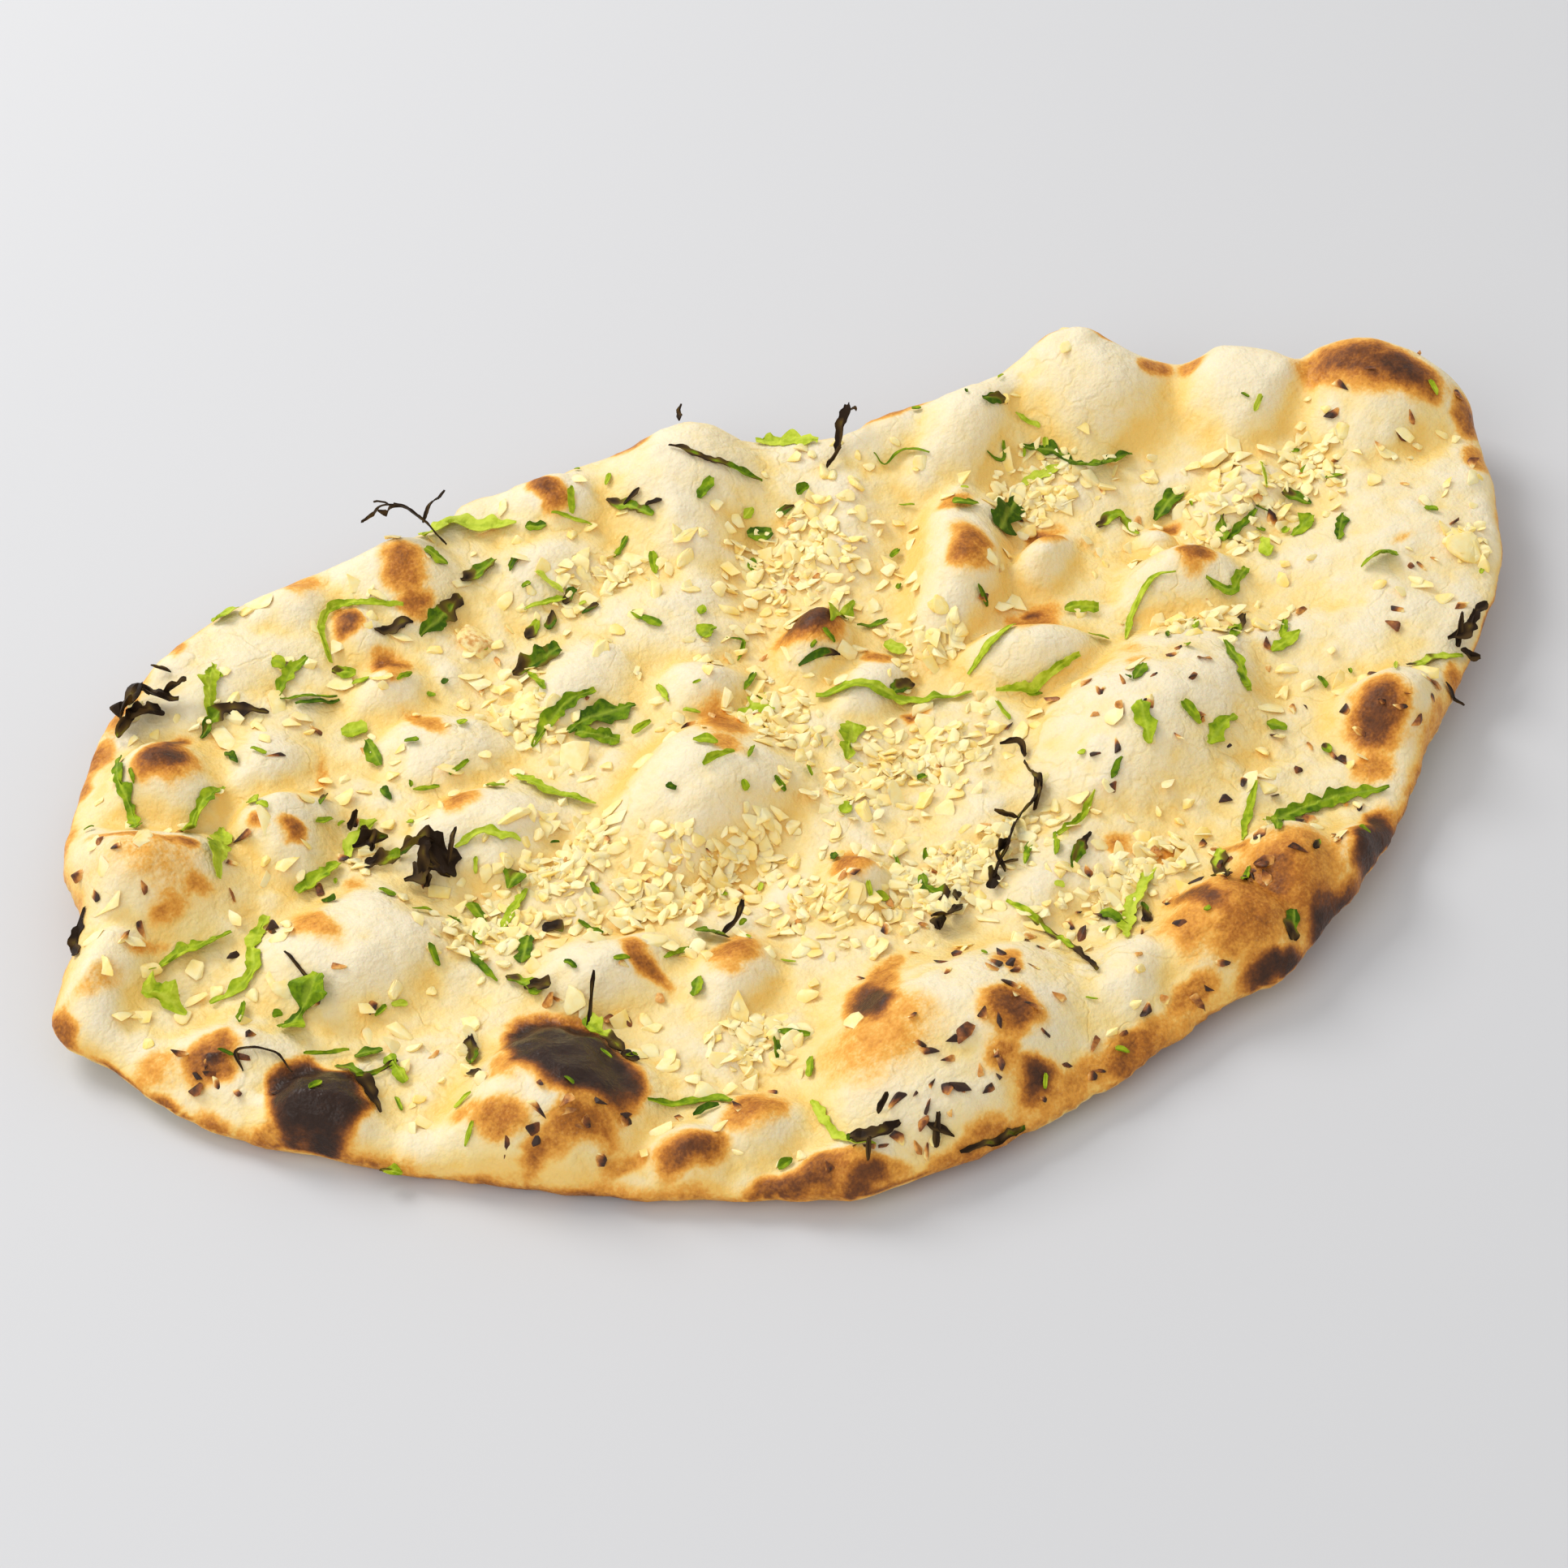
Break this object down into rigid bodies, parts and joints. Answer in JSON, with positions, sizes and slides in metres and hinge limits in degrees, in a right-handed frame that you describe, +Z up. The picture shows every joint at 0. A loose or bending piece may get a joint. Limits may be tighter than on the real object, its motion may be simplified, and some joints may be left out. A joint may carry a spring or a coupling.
{
  "type": "naan bread",
  "caption": "Long oven-baked flat bread, blistered and charred in spots, strewn with minced garlic and shredded coriander.",
  "frame": {"origin": "on the table under the middle of the bread", "axes": "+X along the bread's length, towards the end with the large browned blister; +Y across it, towards the raised far rim; +Z up"},
  "size_m": [0.3384, 0.2041, 0.0284],
  "materials": {
    "bread": "baked dough, cream with toasted and charred blisters",
    "leaf": "fresh shredded coriander leaf",
    "char": "coriander burned dark brown to black",
    "garlic": "chopped garlic glossed with butter"
  },
  "bodies": {
    "root": {"bread": "bread", "garlic_01": "garlic", "garlic_02": "garlic", "garlic_03": "garlic", "garlic_04": "garlic", "garlic_05": "garlic", "garlic_06": "garlic", "coriander_01": "leaf", "coriander_02": "leaf", "coriander_03": "leaf", "coriander_04": "leaf", "coriander_05": "leaf", "coriander_06": "leaf", "coriander_07": "leaf", "coriander_08": "leaf", "coriander_09": "leaf", "coriander_10": "leaf", "coriander_11": "leaf", "coriander_12": "leaf", "coriander_13": "leaf", "coriander_14": "leaf", "coriander_15": "leaf", "coriander_16": "leaf", "coriander_17": "leaf", "coriander_18": "leaf", "coriander_19": "leaf", "coriander_20": "leaf", "coriander_21": "leaf", "coriander_22": "leaf", "coriander_23": "leaf", "coriander_24": "leaf", "coriander_25": "leaf", "coriander_26": "leaf", "coriander_27": "leaf", "coriander_28": "leaf", "coriander_29": "leaf", "coriander_30": "leaf", "coriander_31": "leaf", "coriander_32": "leaf", "coriander_33": "leaf", "coriander_34": "leaf", "coriander_35": "leaf", "charred_01": "char", "charred_02": "char", "charred_03": "char", "charred_04": "char", "charred_05": "char", "charred_06": "char", "charred_07": "char", "charred_08": "char", "charred_09": "char"}
  },
  "joints": []
}
